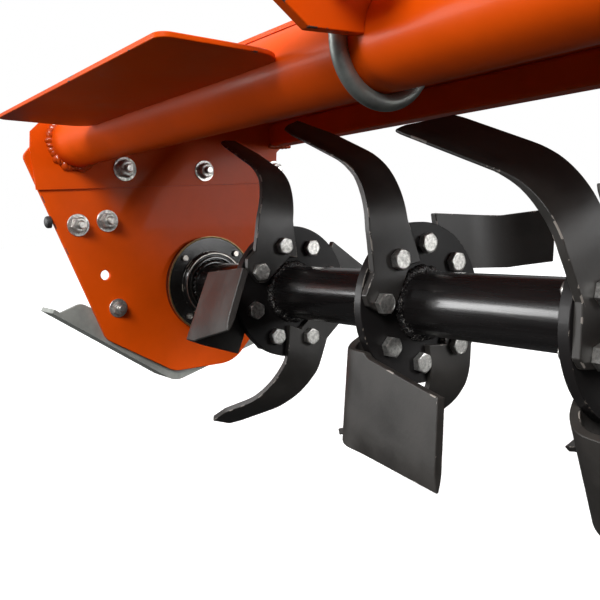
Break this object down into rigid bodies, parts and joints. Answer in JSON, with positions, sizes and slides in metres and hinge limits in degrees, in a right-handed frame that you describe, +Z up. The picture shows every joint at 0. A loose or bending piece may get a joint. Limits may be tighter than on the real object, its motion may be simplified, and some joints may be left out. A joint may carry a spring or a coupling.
{
  "type": "rotary tiller for a tractor's three-point hitch",
  "caption": "Towed rotary tiller: a hooded rotor of curved blades turned by a side drive, with a hinged rear flap, skids and a hitch mast.",
  "frame": {"origin": "middle of the machine's outline on the ground under it", "axes": "+X along the rotor to the drive case, -Y forward to the tractor, +Z up"},
  "size_m": [1.465, 0.8892, 0.909],
  "materials": {
    "orange_paint": "gloss",
    "black_paint": "semi-gloss",
    "blade_steel": "satin",
    "zinc_steel": "dull",
    "machined_steel": "satin",
    "black_plastic": "matt"
  },
  "bodies": {
    "frame": {"side_plate_left": "orange_paint", "side_plate_right": "orange_paint", "main_tube": "orange_paint", "rear_beam": "orange_paint", "hood": "orange_paint", "front_guard": "orange_paint", "bearing_housing_left": "machined_steel", "bearing_housing_right": "machined_steel", "bearing_cap": "black_paint", "skid_left": "zinc_steel", "skid_right": "zinc_steel", "drive_case": "orange_paint", "gearbox": "black_paint", "drive_tube": "orange_paint", "gearbox_carrier_left": "orange_paint", "gearbox_carrier_right": "orange_paint", "shaft_guard": "black_plastic", "hitch_clamp_left": "orange_paint", "hitch_clamp_right": "orange_paint", "link_pin_left": "zinc_steel", "link_pin_right": "zinc_steel", "u_bolts": "zinc_steel", "clamp_caps": "zinc_steel", "mast": "orange_paint", "mast_stay_left": "orange_paint", "mast_stay_right": "orange_paint", "flap_hinge": "orange_paint", "stand_sleeve": "orange_paint"},
    "rotor": {"rotor_shaft": "black_paint", "blade_disc_1": "black_paint", "blade_disc_2": "black_paint", "blade_disc_3": "black_paint", "blade_disc_4": "black_paint", "blades_1": "blade_steel", "blades_2": "blade_steel", "blades_3": "blade_steel", "blades_4": "blade_steel"},
    "input_shaft": {"input_shaft": "machined_steel"},
    "rear_flap": {"rear_flap": "orange_paint"},
    "parking_stand": {"parking_stand": "zinc_steel"}
  },
  "joints": [
    {"name": "rotor_spin", "type": "hinge", "parent": "frame", "child": "rotor", "pos_m": [-0.012, -0.06535, 0.23896], "axis": [1, 0, 0], "continuous": true},
    {"name": "input_spin", "type": "hinge", "parent": "frame", "child": "input_shaft", "pos_m": [0.2685, -0.22535, 0.61096], "axis": [0, -1, 0], "continuous": true},
    {"name": "flap_swing", "type": "hinge", "parent": "frame", "child": "rear_flap", "pos_m": [-0.012, 0.14365, 0.50096], "axis": [1, 0, 0], "range_deg": [-95, 12]},
    {"name": "stand_slide", "type": "slide", "parent": "frame", "child": "parking_stand", "axis": [0, 0, 1], "range_m": [0, 0.25]}
  ],
  "couplings": [
    {"joint": "input_spin", "follows": "rotor_spin", "ratio": 2.5}
  ]
}
